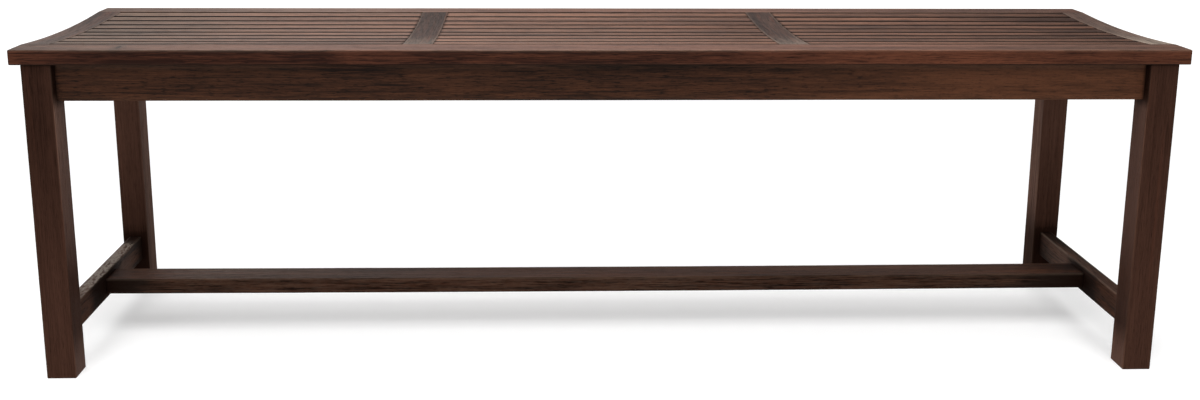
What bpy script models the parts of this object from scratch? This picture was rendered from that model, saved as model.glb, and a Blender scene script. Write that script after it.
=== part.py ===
"""Backless dining bench: a dished seat of slats in three bays, carried by four square legs with
aprons under the seat and an H-shaped stretcher near the floor.

Metres, +Z up. +X runs along the bench, its front faces -Y, and the floor is at Z = 0 under the middle.
"""

import math

import bmesh
import bpy
from mathutils import Matrix, Vector

# Whole bench
BENCH_LENGTH = 1.500
BENCH_DEPTH = 0.450
SEAT_HEIGHT = 0.436
# Space left round every glued joint
FIT = 0.0003

# Seat frame
SEAT_THICKNESS = 0.0195
LONG_RAIL_WIDTH = 0.051
END_RAIL_WIDTH = 0.034
CROSS_RAIL_WIDTH = 0.038
RAIL_TENON_LENGTH = 0.024
RAIL_TENON_THICKNESS = 0.008
RAIL_TENON_SHOULDER = 0.005
RAIL_ROUNDING = 0.0025
SEAT_DISH = 0.005
DISH_STEPS = 24

# Slats
SLATS_PER_BAY = 9
SLAT_WIDTH = 0.0305
SLAT_ABOVE_UNDERSIDE = 0.0015
SLAT_TENON_LENGTH = 0.010
SLAT_TENON_WIDTH = 0.022
SLAT_TENON_SHOULDER = 0.003
SLAT_ROUNDING = 0.0013
JOINT_EASING = 0.0005

# Legs
LEG_WIDTH = 0.038
LEG_DEPTH = 0.044
END_OVERHANG = 0.013
FRONT_OVERHANG = 0.005
LEG_ROUNDING = 0.0013

# Aprons
APRON_HEIGHT = 0.048
APRON_THICKNESS = 0.020
APRON_SETBACK = 0.0125
APRON_TENON_THICKNESS = 0.008
APRON_TENON_SHOULDER = 0.007
END_APRON_TENON_LENGTH = 0.014
MORTISE_WALL = 0.0015
APRON_ROUNDING = 0.001

# Stretchers
END_STRETCHER_THICKNESS = 0.018
END_STRETCHER_HEIGHT = 0.037
END_STRETCHER_LIFT = 0.049
END_STRETCHER_TENON_THICKNESS = 0.009
END_STRETCHER_TENON_LENGTH = 0.020
LONG_STRETCHER_WIDTH = 0.054
LONG_STRETCHER_THICKNESS = 0.022
LONG_STRETCHER_DROP = 0.008
LONG_STRETCHER_TENON_THICKNESS = 0.010
LONG_STRETCHER_TENON_LENGTH = 0.010
STRETCHER_TENON_SHOULDER = 0.006
STRETCHER_ROUNDING = 0.0015

# Bearers under the cross rails, and the screws that hold the seat down on them
BEARER_WIDTH = 0.024
BEARER_HEIGHT = 0.030
BEARER_TENON_LENGTH = 0.009
BEARER_TENON_SHOULDER = 0.006
SCREW_FROM_MIDDLE = 0.120
SCREW_LENGTH = 0.032
SCREW_GRIP = 0.010
SCREW_RADIUS = 0.002
SCREW_TIP = 0.005
SCREW_HEAD_RADIUS = 0.004
SCREW_HEAD_HEIGHT = 0.0025
SCREW_SIDES = 16

# Glued blocks in the corners of the aprons
BLOCK_THICKNESS = 0.022
BLOCK_HEIGHT = 0.036
BLOCK_FROM_LEG = 0.003

# Planes and places that follow from the sizes above
HALF_LENGTH = BENCH_LENGTH / 2
HALF_DEPTH = BENCH_DEPTH / 2
UNDERSIDE = SEAT_HEIGHT - SEAT_THICKNESS
OPENING_HALF_DEPTH = HALF_DEPTH - LONG_RAIL_WIDTH
END_RAIL_INNER = HALF_LENGTH - END_RAIL_WIDTH
BAY_LENGTH = 2 * (END_RAIL_INNER - CROSS_RAIL_WIDTH) / 3
CROSS_RAIL_FROM_MIDDLE = (BAY_LENGTH + CROSS_RAIL_WIDTH) / 2
DISH_RADIUS = (OPENING_HALF_DEPTH**2 + SEAT_DISH**2) / (2 * SEAT_DISH)
SLAT_THICKNESS = SEAT_THICKNESS - SEAT_DISH - SLAT_ABOVE_UNDERSIDE
SLAT_TENON_THICKNESS = SLAT_THICKNESS - 2 * SLAT_TENON_SHOULDER
SLAT_GAP = (2 * OPENING_HALF_DEPTH - SLATS_PER_BAY * SLAT_WIDTH) / (SLATS_PER_BAY + 1)
LEG_OUTER = HALF_LENGTH - END_OVERHANG
LEG_INNER = LEG_OUTER - LEG_WIDTH
LEG_FRONT = HALF_DEPTH - FRONT_OVERHANG
LEG_REAR = LEG_FRONT - LEG_DEPTH
FRAME_TOP = UNDERSIDE - FIT
APRON_BOTTOM = FRAME_TOP - APRON_HEIGHT
LONG_APRON_Y = LEG_FRONT - APRON_SETBACK - APRON_THICKNESS / 2
END_APRON_X = LEG_OUTER - APRON_SETBACK - APRON_THICKNESS / 2
LONG_APRON_TENON_LENGTH = END_APRON_X - APRON_TENON_THICKNESS / 2 - LEG_INNER - MORTISE_WALL
STRETCHER_X = LEG_OUTER - LEG_WIDTH / 2
END_STRETCHER_TOP = END_STRETCHER_LIFT + END_STRETCHER_HEIGHT
LONG_STRETCHER_Z = END_STRETCHER_TOP - LONG_STRETCHER_DROP - LONG_STRETCHER_THICKNESS / 2
LONG_STRETCHER_HALF = STRETCHER_X - END_STRETCHER_THICKNESS / 2
BEARER_END = LONG_APRON_Y - APRON_THICKNESS / 2
SCREW_SEAT = UNDERSIDE + SCREW_GRIP - SCREW_LENGTH

# Colours: the seat is paler and greyer than the frame
LONG_RAIL_COLOUR = (0.095, 0.056, 0.043)
SHORT_RAIL_COLOUR = (0.088, 0.060, 0.052)
SLAT_COLOUR = (0.110, 0.066, 0.052)
LEG_COLOUR = (0.034, 0.018, 0.013)
APRON_COLOUR = (0.042, 0.019, 0.013)
STRETCHER_COLOUR = (0.036, 0.021, 0.016)
HIDDEN_WOOD_COLOUR = (0.060, 0.032, 0.022)
SCREW_COLOUR = (0.45, 0.43, 0.38)

CORNERS = {"front_left": (-1, -1), "front_right": (1, -1), "back_left": (-1, 1), "back_right": (1, 1)}
SIDES = {"left": -1, "right": 1}


def clear_scene():
    """Remove the startup objects."""
    for obj in list(bpy.data.objects):
        bpy.data.objects.remove(obj, do_unlink=True)


def new_collection(name):
    """A collection linked to the scene."""
    collection = bpy.data.collections.new(name)
    bpy.context.scene.collection.children.link(collection)
    return collection


def new_material(name, colour, roughness, metallic=0.0):
    """A Principled material of one colour."""
    material = bpy.data.materials.new(name)
    material.use_nodes = True
    shader = material.node_tree.nodes["Principled BSDF"]
    shader.inputs["Base Color"].default_value = (*colour, 1.0)
    shader.inputs["Roughness"].default_value = roughness
    shader.inputs["Metallic"].default_value = metallic
    return material


def add_box(bm, size, centre=(0, 0, 0), turn=0.0):
    """Add a box to bm, turned about the X axis through its own centre, and return its vertices."""
    matrix = Matrix.Translation(centre) @ Matrix.Rotation(turn, 4, "X") @ Matrix.Diagonal((*size, 1))
    return bmesh.ops.create_cube(bm, size=1.0, matrix=matrix)["verts"]


def to_object(bm, name, collection, location=(0, 0, 0)):
    """Turn bm into an object in the collection."""
    mesh = bpy.data.meshes.new(name)
    bm.to_mesh(mesh)
    bm.free()
    obj = bpy.data.objects.new(name, mesh)
    obj.location = location
    collection.objects.link(obj)
    return obj


def helper(bm, name):
    """A hidden object that cuts another or joins it."""
    obj = to_object(bm, name, cutters)
    obj.hide_render = True
    obj.display_type = "WIRE"
    return obj


def ease_edges(obj, radius_of, segments):
    """Round each edge to the radius that radius_of gives for its middle and direction, 0 for sharp."""
    bm = bmesh.new()
    bm.from_mesh(obj.data)
    radii = {}
    for edge in bm.edges:
        if edge.calc_face_angle(0.0) > math.radians(30):
            start, end = (v.co for v in edge.verts)
            radii[edge.index] = radius_of((start + end) / 2, (end - start).normalized())
    largest = max(radii.values())
    weight = bm.edges.layers.float.new("bevel_weight_edge")
    for edge in bm.edges:
        edge[weight] = radii.get(edge.index, 0.0) / largest
    bm.to_mesh(obj.data)
    bm.free()
    bevel = obj.modifiers.new("rounding", "BEVEL")
    bevel.limit_method = "WEIGHT"
    bevel.width = largest
    bevel.segments = segments


def ease_all_edges(obj, radius, segments=2):
    """Round every edge of the piece alike."""
    ease_edges(obj, lambda middle, direction: radius, segments)


def boolean(obj, other, operation):
    """Add a Boolean modifier to obj."""
    modifier = obj.modifiers.new(other.name, "BOOLEAN")
    modifier.operation = operation
    modifier.object = other
    modifier.solver = "EXACT"


def bake(obj):
    """Apply the object's modifiers and return its mesh."""
    graph = bpy.context.evaluated_depsgraph_get()
    mesh = bpy.data.meshes.new_from_object(obj.evaluated_get(graph))
    obj.modifiers.clear()
    obj.data = mesh
    return mesh


def mirrored(obj, name, along_x, along_y):
    """A copy of a baked object, mirrored through the middle of the bench where a sign is -1."""
    mesh = obj.data.copy()
    mesh.name = name
    mesh.transform(Matrix.Diagonal((along_x, along_y, 1, 1)))
    if along_x * along_y < 0:
        mesh.flip_normals()
    copy = bpy.data.objects.new(name, mesh)
    copy.location = (along_x * obj.location.x, along_y * obj.location.y, obj.location.z)
    bench.objects.link(copy)
    return copy


def finish(obj, material):
    """Give the piece its material."""
    obj.data.materials.clear()
    obj.data.materials.append(material)


def seat_top(y):
    """Height of the seat's top at this depth: an arc that sinks between the long rails."""
    if abs(y) >= OPENING_HALF_DEPTH:
        return SEAT_HEIGHT
    return SEAT_HEIGHT - SEAT_DISH + DISH_RADIUS - math.sqrt(DISH_RADIUS**2 - y**2)


def slat_places():
    """Depth, height and tilt of the middle of each slat's top, from front to back."""
    pitch = SLAT_WIDTH + SLAT_GAP
    first = -OPENING_HALF_DEPTH + SLAT_GAP + SLAT_WIDTH / 2
    depths = [first + i * pitch for i in range(SLATS_PER_BAY)]
    return [(y, seat_top(y), math.asin(y / DISH_RADIUS)) for y in depths]


def slat_mortises(bm, face_x):
    """Add the slots for one bay's tenons to bm, centred on a rail's face at X = face_x."""
    size = (
        2 * (SLAT_TENON_LENGTH + FIT),
        SLAT_TENON_WIDTH + 2 * FIT,
        SLAT_TENON_THICKNESS + 2 * FIT,
    )
    for y, z, tilt in slat_places():
        down = Matrix.Rotation(tilt, 3, "X") @ Vector((0, 0, -SLAT_THICKNESS / 2))
        add_box(bm, size, (face_x, y + down.y, z + down.z), tilt)


def add_rail_tenons(bm, x, width, space):
    """Add the tongues, or with space the slots, at both ends of an end rail or a cross rail to bm."""
    size = (
        width - 2 * RAIL_TENON_SHOULDER + 2 * space,
        2 * (RAIL_TENON_LENGTH + space),
        RAIL_TENON_THICKNESS + 2 * space,
    )
    for side in (-1, 1):
        add_box(bm, size, (x, side * OPENING_HALF_DEPTH, SEAT_HEIGHT - SEAT_THICKNESS / 2))


def curved_rail(name, x, width, slat_faces, outer_face=None):
    """A short rail between the long ones, its top sunk to the dish, its ends tenoned."""
    bm = bmesh.new()
    depth = 2 * (OPENING_HALF_DEPTH - FIT)
    add_box(bm, (width, depth, SEAT_THICKNESS), (x, 0, SEAT_HEIGHT - SEAT_THICKNESS / 2))
    lengthwise = [e for e in bm.edges if abs(e.verts[0].co.y - e.verts[1].co.y) > depth / 2]
    bmesh.ops.subdivide_edges(bm, edges=lengthwise, cuts=DISH_STEPS - 1, use_grid_fill=True)
    for vertex in bm.verts:
        if vertex.co.z > SEAT_HEIGHT - SEAT_THICKNESS / 2:
            vertex.co.z = seat_top(vertex.co.y)
    rail = to_object(bm, name, bench)

    def radius(middle, direction):
        on_outer_face = outer_face is not None and abs(middle.x - outer_face) < width / 4
        return RAIL_ROUNDING if on_outer_face and abs(direction.y) > 0.5 else JOINT_EASING

    ease_edges(rail, radius, 3)

    tongues = bmesh.new()
    add_rail_tenons(tongues, x, width, 0.0)
    boolean(rail, helper(tongues, name + "_tongues"), "UNION")
    slots = bmesh.new()
    for face_x in slat_faces:
        slat_mortises(slots, face_x)
    boolean(rail, helper(slots, name + "_slots"), "DIFFERENCE")
    return rail


def build_seat_frame(rail_wood, short_rail_wood):
    """Two long rails with the end rails and cross rails between them."""
    end = curved_rail("end_rail_right", HALF_LENGTH - END_RAIL_WIDTH / 2, END_RAIL_WIDTH,
                      [END_RAIL_INNER], HALF_LENGTH)
    cross_faces = [CROSS_RAIL_FROM_MIDDLE + side * CROSS_RAIL_WIDTH / 2 for side in (-1, 1)]
    cross = curved_rail("cross_rail_right", CROSS_RAIL_FROM_MIDDLE, CROSS_RAIL_WIDTH, cross_faces)
    pilots = screw_holes(SCREW_RADIUS, SCREW_SEAT, SCREW_SEAT + SCREW_LENGTH + FIT)
    boolean(cross, helper(pilots, "cross_rail_pilot_holes"), "DIFFERENCE")
    for right, left_name in ((end, "end_rail_left"), (cross, "cross_rail_left")):
        bake(right)
        finish(right, short_rail_wood)
        finish(mirrored(right, left_name, -1, 1), short_rail_wood)

    centre_y = -HALF_DEPTH + LONG_RAIL_WIDTH / 2
    bm = bmesh.new()
    add_box(bm, (BENCH_LENGTH, LONG_RAIL_WIDTH, SEAT_THICKNESS))
    front = to_object(bm, "front_rail", bench, (0, centre_y, SEAT_HEIGHT - SEAT_THICKNESS / 2))

    def radius(middle, direction):
        on_seat_side = middle.y > LONG_RAIL_WIDTH / 4 and abs(direction.x) > 0.5
        return JOINT_EASING if on_seat_side else RAIL_ROUNDING

    ease_edges(front, radius, 3)
    mortises = bmesh.new()
    for side in (-1, 1):
        add_rail_tenons(mortises, side * (HALF_LENGTH - END_RAIL_WIDTH / 2), END_RAIL_WIDTH, FIT)
        add_rail_tenons(mortises, side * CROSS_RAIL_FROM_MIDDLE, CROSS_RAIL_WIDTH, FIT)
    boolean(front, helper(mortises, "long_rail_mortises"), "DIFFERENCE")
    bake(front)
    finish(front, rail_wood)
    finish(mirrored(front, "back_rail", 1, -1), rail_wood)


def build_slats(wood):
    """Nine slats in each of three bays, set along the dish and tenoned into the short rails."""
    inner = CROSS_RAIL_FROM_MIDDLE - CROSS_RAIL_WIDTH / 2
    outer = CROSS_RAIL_FROM_MIDDLE + CROSS_RAIL_WIDTH / 2
    bays = {
        "left": (-END_RAIL_INNER, -outer),
        "middle": (-inner, inner),
        "right": (outer, END_RAIL_INNER),
    }
    for bay, (start, end) in bays.items():
        length = end - start - 2 * FIT
        bm = bmesh.new()
        add_box(bm, (length, SLAT_WIDTH, SLAT_THICKNESS), (0, 0, -SLAT_THICKNESS / 2))
        pattern = to_object(bm, "slat_pattern_" + bay, bench)
        ease_edges(pattern, lambda m, d: SLAT_ROUNDING if abs(d.x) > 0.5 else 0.0, 2)
        tongue = bmesh.new()
        size = (end - start + 2 * SLAT_TENON_LENGTH, SLAT_TENON_WIDTH, SLAT_TENON_THICKNESS)
        add_box(tongue, size, (0, 0, -SLAT_THICKNESS / 2))
        boolean(pattern, helper(tongue, "slat_tongue_" + bay), "UNION")
        mesh = bake(pattern)
        finish(pattern, wood)
        bpy.data.objects.remove(pattern)
        for number, (y, z, tilt) in enumerate(slat_places(), 1):
            slat = bpy.data.objects.new(f"slat_{bay}_{number}", mesh)
            slat.location = ((start + end) / 2, y, z)
            slat.rotation_euler.x = tilt
            bench.objects.link(slat)


def add_long_apron_tenon(bm, space):
    """Add the long apron's tongue at the front right leg, or with space its slot, to bm."""
    size = (
        2 * (LONG_APRON_TENON_LENGTH + space),
        APRON_TENON_THICKNESS + 2 * space,
        APRON_HEIGHT - 2 * APRON_TENON_SHOULDER + 2 * space,
    )
    add_box(bm, size, (LEG_INNER, -LONG_APRON_Y, APRON_BOTTOM + APRON_HEIGHT / 2))


def add_end_apron_tenon(bm, space):
    """Add the end apron's tongue at the front right leg, or with space its slot, to bm."""
    size = (
        APRON_TENON_THICKNESS + 2 * space,
        2 * (END_APRON_TENON_LENGTH + space),
        APRON_HEIGHT - 2 * APRON_TENON_SHOULDER + 2 * space,
    )
    add_box(bm, size, (END_APRON_X, -LEG_REAR, APRON_BOTTOM + APRON_HEIGHT / 2))


def add_end_stretcher_tenon(bm, space):
    """Add the end stretcher's tongue at the front right leg, or with space its slot, to bm."""
    size = (
        END_STRETCHER_TENON_THICKNESS + 2 * space,
        2 * (END_STRETCHER_TENON_LENGTH + space),
        END_STRETCHER_HEIGHT - 2 * STRETCHER_TENON_SHOULDER + 2 * space,
    )
    add_box(bm, size, (STRETCHER_X, -LEG_REAR, END_STRETCHER_LIFT + END_STRETCHER_HEIGHT / 2))


def build_legs(wood):
    """Four square legs, mortised for both aprons and for the end stretcher."""
    bm = bmesh.new()
    add_box(bm, (LEG_WIDTH, LEG_DEPTH, FRAME_TOP))
    middle = (LEG_OUTER - LEG_WIDTH / 2, -LEG_FRONT + LEG_DEPTH / 2, FRAME_TOP / 2)
    leg = to_object(bm, "leg_front_right", bench, middle)
    ease_all_edges(leg, LEG_ROUNDING)
    mortises = bmesh.new()
    add_long_apron_tenon(mortises, FIT)
    add_end_apron_tenon(mortises, FIT)
    add_end_stretcher_tenon(mortises, FIT)
    boolean(leg, helper(mortises, "leg_mortises"), "DIFFERENCE")
    bake(leg)
    finish(leg, wood)
    for corner, (along_x, along_y) in CORNERS.items():
        if corner != "front_right":
            finish(mirrored(leg, "leg_" + corner, along_x, -along_y), wood)


def join_mirrored(bm, along_x, along_y):
    """Add to bm a mirrored copy of all that it holds."""
    copy = bmesh.ops.duplicate(bm, geom=bm.verts[:] + bm.edges[:] + bm.faces[:])["geom"]
    verts = [item for item in copy if isinstance(item, bmesh.types.BMVert)]
    bmesh.ops.scale(bm, vec=(along_x, along_y, 1), verts=verts)
    bmesh.ops.reverse_faces(bm, faces=[item for item in copy if isinstance(item, bmesh.types.BMFace)])


def build_aprons(wood):
    """Four boards on edge between the legs, just under the seat."""
    middle_z = APRON_BOTTOM + APRON_HEIGHT / 2
    bm = bmesh.new()
    add_box(bm, (2 * (LEG_INNER - FIT), APRON_THICKNESS, APRON_HEIGHT))
    front = to_object(bm, "apron_front", bench, (0, -LONG_APRON_Y, middle_z))
    ease_all_edges(front, APRON_ROUNDING)
    tongues = bmesh.new()
    add_long_apron_tenon(tongues, 0.0)
    join_mirrored(tongues, -1, 1)
    boolean(front, helper(tongues, "long_apron_tongues"), "UNION")
    mortises = bmesh.new()
    for side in SIDES.values():
        add_bearer_tenons(mortises, side * CROSS_RAIL_FROM_MIDDLE, FIT)
    boolean(front, helper(mortises, "long_apron_mortises"), "DIFFERENCE")
    bake(front)
    finish(front, wood)
    finish(mirrored(front, "apron_back", 1, -1), wood)

    bm = bmesh.new()
    add_box(bm, (APRON_THICKNESS, 2 * (LEG_REAR - FIT), APRON_HEIGHT))
    right = to_object(bm, "apron_right", bench, (END_APRON_X, 0, middle_z))
    ease_all_edges(right, APRON_ROUNDING)
    tongues = bmesh.new()
    add_end_apron_tenon(tongues, 0.0)
    join_mirrored(tongues, 1, -1)
    boolean(right, helper(tongues, "end_apron_tongues"), "UNION")
    bake(right)
    finish(right, wood)
    finish(mirrored(right, "apron_left", -1, 1), wood)


def add_long_stretcher_tenons(bm, space):
    """Add the long stretcher's two tongues, or with space their slots, to bm."""
    size = (
        2 * (LONG_STRETCHER_TENON_LENGTH + space),
        LONG_STRETCHER_WIDTH - 2 * STRETCHER_TENON_SHOULDER + 2 * space,
        LONG_STRETCHER_TENON_THICKNESS + 2 * space,
    )
    for side in SIDES.values():
        add_box(bm, size, (side * LONG_STRETCHER_HALF, 0, LONG_STRETCHER_Z))


def build_stretchers(wood):
    """A stretcher on edge at each end and a long one laid flat between them."""
    bm = bmesh.new()
    add_box(bm, (END_STRETCHER_THICKNESS, 2 * (LEG_REAR - FIT), END_STRETCHER_HEIGHT))
    middle_z = END_STRETCHER_LIFT + END_STRETCHER_HEIGHT / 2
    right = to_object(bm, "stretcher_right", bench, (STRETCHER_X, 0, middle_z))
    ease_all_edges(right, STRETCHER_ROUNDING)
    tongues = bmesh.new()
    add_end_stretcher_tenon(tongues, 0.0)
    join_mirrored(tongues, 1, -1)
    boolean(right, helper(tongues, "end_stretcher_tongues"), "UNION")
    mortises = bmesh.new()
    add_long_stretcher_tenons(mortises, FIT)
    boolean(right, helper(mortises, "end_stretcher_mortises"), "DIFFERENCE")
    bake(right)
    finish(right, wood)
    finish(mirrored(right, "stretcher_left", -1, 1), wood)

    bm = bmesh.new()
    size = (2 * (LONG_STRETCHER_HALF - FIT), LONG_STRETCHER_WIDTH, LONG_STRETCHER_THICKNESS)
    add_box(bm, size)
    long_one = to_object(bm, "stretcher_long", bench, (0, 0, LONG_STRETCHER_Z))
    ease_all_edges(long_one, STRETCHER_ROUNDING)
    tongues = bmesh.new()
    add_long_stretcher_tenons(tongues, 0.0)
    boolean(long_one, helper(tongues, "long_stretcher_tongues"), "UNION")
    bake(long_one)
    finish(long_one, wood)


def add_bearer_tenons(bm, x, space):
    """Add the tongues at both ends of the bearer at x, or with space their slots, to bm."""
    size = (
        BEARER_WIDTH - 2 * BEARER_TENON_SHOULDER + 2 * space,
        2 * (BEARER_TENON_LENGTH + space),
        BEARER_HEIGHT - 2 * BEARER_TENON_SHOULDER + 2 * space,
    )
    for side in (-1, 1):
        add_box(bm, size, (x, side * BEARER_END, FRAME_TOP - BEARER_HEIGHT / 2))


def screw_holes(radius, low, high):
    """Upright cylinders at the right bearer's two screws, a fit wider than the radius."""
    bm = bmesh.new()
    wide = radius + FIT
    for side in (-1, 1):
        place = (CROSS_RAIL_FROM_MIDDLE, side * SCREW_FROM_MIDDLE, (low + high) / 2)
        bmesh.ops.create_cone(bm, cap_ends=True, segments=SCREW_SIDES, radius1=wide, radius2=wide,
                              depth=high - low, matrix=Matrix.Translation(place))
    return bm


def build_bearers(wood):
    """A bearer under each cross rail, tenoned into the long aprons."""
    bm = bmesh.new()
    add_box(bm, (BEARER_WIDTH, 2 * (BEARER_END - FIT), BEARER_HEIGHT))
    middle = (CROSS_RAIL_FROM_MIDDLE, 0, FRAME_TOP - BEARER_HEIGHT / 2)
    right = to_object(bm, "bearer_right", bench, middle)
    ease_all_edges(right, APRON_ROUNDING)
    tongues = bmesh.new()
    add_bearer_tenons(tongues, CROSS_RAIL_FROM_MIDDLE, 0.0)
    boolean(right, helper(tongues, "bearer_tongues"), "UNION")
    shanks = screw_holes(SCREW_RADIUS, SCREW_SEAT, SCREW_SEAT + SCREW_LENGTH)
    boolean(right, helper(shanks, "bearer_shank_holes"), "DIFFERENCE")
    heads = screw_holes(SCREW_HEAD_RADIUS, SCREW_SEAT - BEARER_HEIGHT, SCREW_SEAT + FIT)
    boolean(right, helper(heads, "bearer_head_holes"), "DIFFERENCE")
    bake(right)
    finish(right, wood)
    finish(mirrored(right, "bearer_left", -1, 1), wood)


def build_screws(steel):
    """Round-headed screws up through the bearers into the cross rails."""
    profile = [
        (0.0, SCREW_LENGTH),
        (SCREW_RADIUS / 2, SCREW_LENGTH - SCREW_TIP / 2),
        (SCREW_RADIUS, SCREW_LENGTH - SCREW_TIP),
        (SCREW_RADIUS, 0.0),
        (SCREW_HEAD_RADIUS, 0.0),
        (SCREW_HEAD_RADIUS * 0.8, -SCREW_HEAD_HEIGHT * 0.6),
        (0.0, -SCREW_HEAD_HEIGHT),
    ]
    bm = bmesh.new()
    points = [bm.verts.new((radius, 0, height)) for radius, height in profile]
    for start, end in zip(points, points[1:]):
        bm.edges.new((start, end))
    pattern = to_object(bm, "screw_pattern", bench)
    turned = pattern.modifiers.new("turned", "SCREW")
    turned.steps = turned.render_steps = SCREW_SIDES
    turned.use_merge_vertices = True
    turned.merge_threshold = 0.00001
    mesh = bake(pattern)
    mesh.shade_smooth()
    finish(pattern, steel)
    bpy.data.objects.remove(pattern)
    for side_name, side in SIDES.items():
        for place, along_y in (("front", -1), ("back", 1)):
            screw = bpy.data.objects.new(f"seat_screw_{place}_{side_name}", mesh)
            screw.location = (side * CROSS_RAIL_FROM_MIDDLE, along_y * SCREW_FROM_MIDDLE, SCREW_SEAT)
            bench.objects.link(screw)


def build_corner_blocks(wood):
    """Blocks set across the corners of the aprons, their ends cut to lie along both boards."""
    inward = Vector((-1, 1, 0)).normalized()
    leg_corner = Vector((LEG_INNER, -LEG_REAR, 0))
    end_face = END_APRON_X - APRON_THICKNESS / 2 - FIT
    long_face = -LONG_APRON_Y + APRON_THICKNESS / 2 + FIT
    centre = leg_corner + inward * (BLOCK_FROM_LEG + BLOCK_THICKNESS / 2)
    centre.z = FRAME_TOP - BLOCK_HEIGHT / 2
    bm = bmesh.new()
    size = (6 * BLOCK_THICKNESS, BLOCK_THICKNESS, BLOCK_HEIGHT)
    matrix = Matrix.Rotation(math.radians(45), 4, "Z") @ Matrix.Diagonal((*size, 1))
    bmesh.ops.create_cube(bm, size=1.0, matrix=matrix)
    for point, normal in (((end_face, 0, 0), (1, 0, 0)), ((0, long_face, 0), (0, -1, 0))):
        geometry = bm.verts[:] + bm.edges[:] + bm.faces[:]
        cut = bmesh.ops.bisect_plane(bm, geom=geometry, plane_co=Vector(point) - centre, plane_no=normal,
                                     clear_outer=True)["geom_cut"]
        rim = [item for item in cut if isinstance(item, bmesh.types.BMEdge)]
        bmesh.ops.edgeloop_fill(bm, edges=rim)
    bmesh.ops.recalc_face_normals(bm, faces=bm.faces[:])
    block = to_object(bm, "corner_block_front_right", bench, centre)
    ease_all_edges(block, APRON_ROUNDING, 1)
    bake(block)
    finish(block, wood)
    for corner, (along_x, along_y) in CORNERS.items():
        if corner != "front_right":
            finish(mirrored(block, "corner_block_" + corner, along_x, -along_y), wood)


clear_scene()
bench = new_collection("bench")
cutters = new_collection("cutters")
long_rail_wood = new_material("long_rail_wood", LONG_RAIL_COLOUR, 0.55)
short_rail_wood = new_material("short_rail_wood", SHORT_RAIL_COLOUR, 0.6)
build_seat_frame(long_rail_wood, short_rail_wood)
build_slats(new_material("slat_wood", SLAT_COLOUR, 0.58))
build_legs(new_material("leg_wood", LEG_COLOUR, 0.5))
build_aprons(new_material("apron_wood", APRON_COLOUR, 0.5))
build_stretchers(new_material("stretcher_wood", STRETCHER_COLOUR, 0.52))
hidden_wood = new_material("hidden_wood", HIDDEN_WOOD_COLOUR, 0.7)
build_bearers(hidden_wood)
build_corner_blocks(hidden_wood)
build_screws(new_material("screw_steel", SCREW_COLOUR, 0.4, 1.0))
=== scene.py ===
"""A backless bench in dark hardwood: its boards, their finish, the studio and the camera."""
import math
import random

import bmesh
import bpy
from mathutils import Matrix, Vector, noise


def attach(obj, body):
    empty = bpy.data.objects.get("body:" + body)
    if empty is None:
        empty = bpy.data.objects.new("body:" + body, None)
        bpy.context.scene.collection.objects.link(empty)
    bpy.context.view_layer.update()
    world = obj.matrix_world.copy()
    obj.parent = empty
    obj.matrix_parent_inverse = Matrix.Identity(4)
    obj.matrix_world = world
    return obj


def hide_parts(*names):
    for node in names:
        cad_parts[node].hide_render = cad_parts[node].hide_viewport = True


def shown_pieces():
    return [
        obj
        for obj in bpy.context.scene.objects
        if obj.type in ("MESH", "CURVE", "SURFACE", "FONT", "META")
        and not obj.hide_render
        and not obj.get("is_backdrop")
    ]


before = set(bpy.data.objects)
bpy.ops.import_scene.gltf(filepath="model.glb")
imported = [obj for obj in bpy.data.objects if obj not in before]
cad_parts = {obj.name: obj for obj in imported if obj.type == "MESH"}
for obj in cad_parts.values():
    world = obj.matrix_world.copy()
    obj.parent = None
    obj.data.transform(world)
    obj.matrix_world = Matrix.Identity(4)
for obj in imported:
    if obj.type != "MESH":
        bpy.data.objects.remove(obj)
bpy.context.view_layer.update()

# The bench's sizes in metres, as in the part's source. A tongue is the tenon at a board's end.
HALF_LENGTH = 0.750
HALF_DEPTH = 0.225
SEAT_HEIGHT = 0.436
UNDERSIDE = 0.4165
FIT = 0.0003
OPENING_HALF_DEPTH = 0.174
SEAT_DISH = 0.005
DISH_RADIUS = (OPENING_HALF_DEPTH**2 + SEAT_DISH**2) / (2 * SEAT_DISH)
END_RAIL_FACES = (0.716, HALF_LENGTH)
CROSS_RAIL_FACES = (0.226, 0.264)
RAIL_TONGUE_HEIGHTS = (0.4225, 0.4305)
RAIL_TONGUE_SHOULDER = 0.005
RAIL_TONGUE_LENGTH = 0.024
SLATS_PER_BAY = 9
SLAT_WIDTH = 0.0305
SLAT_THICKNESS = 0.013
SLAT_GAP = (2 * OPENING_HALF_DEPTH - SLATS_PER_BAY * SLAT_WIDTH) / (SLATS_PER_BAY + 1)
SLAT_TONGUE = (-0.011, 0.011, -0.010, -0.003)
SLAT_TONGUE_LENGTH = 0.010
LEG_INNER, LEG_OUTER = 0.699, 0.737
LEG_REAR, LEG_FRONT = 0.176, 0.220
FRAME_TOP = UNDERSIDE - FIT
APRON_HEIGHT = 0.048
LONG_APRON_FACES = (0.1875, 0.2075)
END_APRON_FACES = (0.7045, 0.7245)
APRON_TONGUE_SHOULDERS = (0.006, 0.007)
LONG_APRON_TONGUE_LENGTH = 0.010
END_APRON_TONGUE_LENGTH = 0.014
END_STRETCHER_FACES = (0.709, 0.727)
END_STRETCHER_HEIGHTS = (0.049, 0.086)
END_STRETCHER_TONGUE_HEIGHTS = (0.055, 0.080)
END_STRETCHER_TONGUE_SHOULDER = 0.0045
END_STRETCHER_TONGUE_LENGTH = 0.020
LONG_STRETCHER = (-0.027, 0.027, 0.056, 0.078)
LONG_STRETCHER_TONGUE = (-0.021, 0.021, 0.062, 0.072)
LONG_STRETCHER_TONGUE_LENGTH = 0.010
LONG_STRETCHER_SAG = 0.0011

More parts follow.
